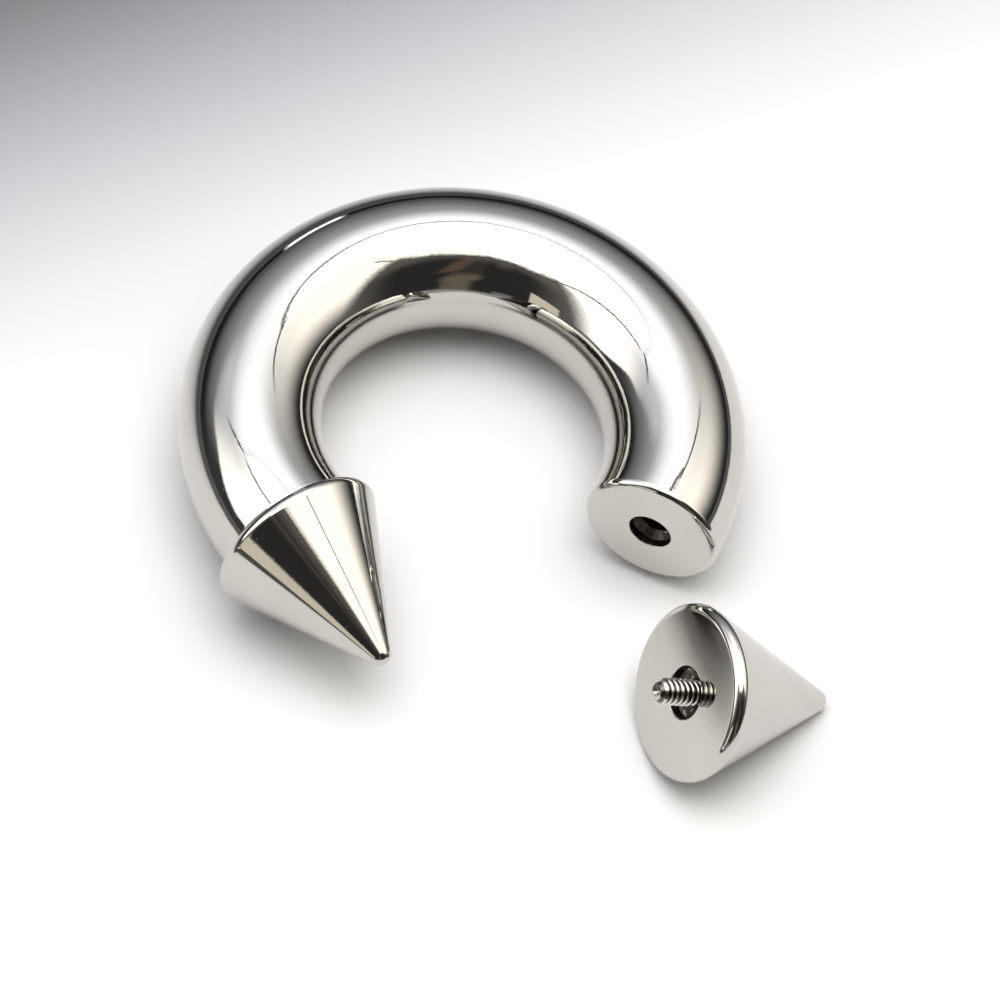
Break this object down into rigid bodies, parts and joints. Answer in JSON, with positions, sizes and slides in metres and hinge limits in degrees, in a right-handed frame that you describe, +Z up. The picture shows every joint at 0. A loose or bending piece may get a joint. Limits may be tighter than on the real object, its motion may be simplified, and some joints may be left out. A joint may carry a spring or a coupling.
{
  "type": "horseshoe barbell",
  "caption": "Heavy-gauge steel horseshoe barbell: a bent round bar with threaded ends, with cones that screw in on threaded studs, one seated and one taken off beside the open end.",
  "frame": {"origin": "on the surface that the barbell lies on, under the middle of its box", "axes": "+Z up; +Y from the opening of the horseshoe towards the back of its bend; the seated cone is at -X"},
  "size_m": [0.0356, 0.038, 0.01],
  "materials": {
    "polished_steel": "mirror-polished surgical steel with fine handling scratches",
    "machined_steel": "turned surgical steel with bright thread crests"
  },
  "bodies": {
    "horseshoe": {"horseshoe_bar": "polished_steel", "loose_cone": "polished_steel", "loose_stud": "machined_steel"},
    "screw_stud": {"fixed_stud": "machined_steel"},
    "screw_cone": {"fixed_cone": "polished_steel"}
  },
  "joints": [
    {"name": "stud_advance", "type": "slide", "parent": "horseshoe", "child": "screw_stud", "axis": [0.4697, -0.8825, 0.0253], "range_m": [0, 0.00193]},
    {"name": "cone_unscrew", "type": "hinge", "parent": "screw_stud", "child": "screw_cone", "pos_m": [-0.01186, -0.00367, 0.00499], "axis": [0.4697, -0.8825, 0.0253], "range_deg": [0, 1980]}
  ],
  "couplings": [
    {"joint": "cone_unscrew", "follows": "stud_advance", "rad_per_m": 17952}
  ]
}
